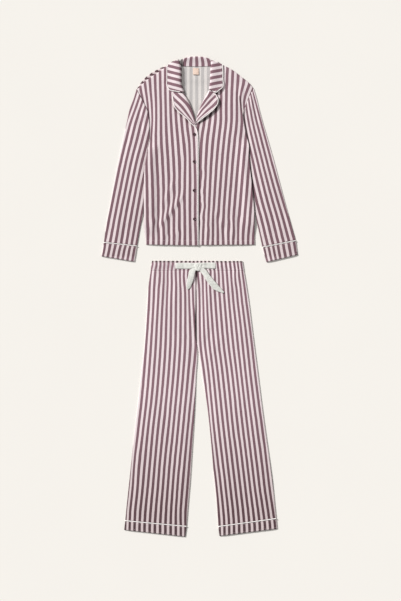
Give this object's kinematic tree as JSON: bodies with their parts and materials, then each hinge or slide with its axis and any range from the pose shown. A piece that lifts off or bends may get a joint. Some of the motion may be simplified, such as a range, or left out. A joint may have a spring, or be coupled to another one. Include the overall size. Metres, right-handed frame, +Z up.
{
  "type": "pyjama set",
  "caption": "Striped pyjama shirt with notched collar, piping and buttons, laid flat above matching wide-leg trousers with a gathered waist and a tied ribbon.",
  "frame": {"origin": "centre of the set's outline, on the surface it lies on", "axes": "+Y from the trouser hems to the collar, +X to the wearer's left (the viewer's right), +Z up out of the surface"},
  "size_m": [0.736, 1.8, 0.0115],
  "materials": {
    "striped_cloth": "smooth woven cloth with plum and off-white lengthwise stripes, slight sheen",
    "piping": "off-white corded piping, matt",
    "ribbon": "ivory satin ribbon",
    "button": "dark plum polished resin",
    "label_tape": "pale peach woven tape, blank"
  },
  "bodies": {
    "root": {"button_1": "button", "button_2": "button", "button_3": "button", "button_4": "button", "collar_fall_back": "striped_cloth", "collar_fall_l": "striped_cloth", "collar_fall_r": "striped_cloth", "collar_piping_l": "piping", "collar_piping_r": "piping", "collar_stand": "striped_cloth", "cuff_l": "striped_cloth", "cuff_piping_l": "piping", "cuff_piping_r": "piping", "cuff_r": "striped_cloth", "hem_band_l": "striped_cloth", "hem_band_r": "striped_cloth", "hem_piping_l": "piping", "hem_piping_r": "piping", "lapel_l": "striped_cloth", "lapel_piping_l": "piping", "lapel_piping_r": "piping", "lapel_r": "striped_cloth", "neck_label": "label_tape", "ribbon_knot": "ribbon", "ribbon_l": "ribbon", "ribbon_r": "ribbon", "ribbon_tail_l": "ribbon", "ribbon_tail_r": "ribbon", "shirt_back": "striped_cloth", "shirt_front_l": "striped_cloth", "shirt_front_r": "striped_cloth", "sleeve_l": "striped_cloth", "sleeve_r": "striped_cloth", "trouser_back_l": "striped_cloth", "trouser_back_r": "striped_cloth", "trouser_front_l": "striped_cloth", "trouser_front_r": "striped_cloth", "waistband_back": "striped_cloth", "waistband_front": "striped_cloth"}
  },
  "joints": []
}
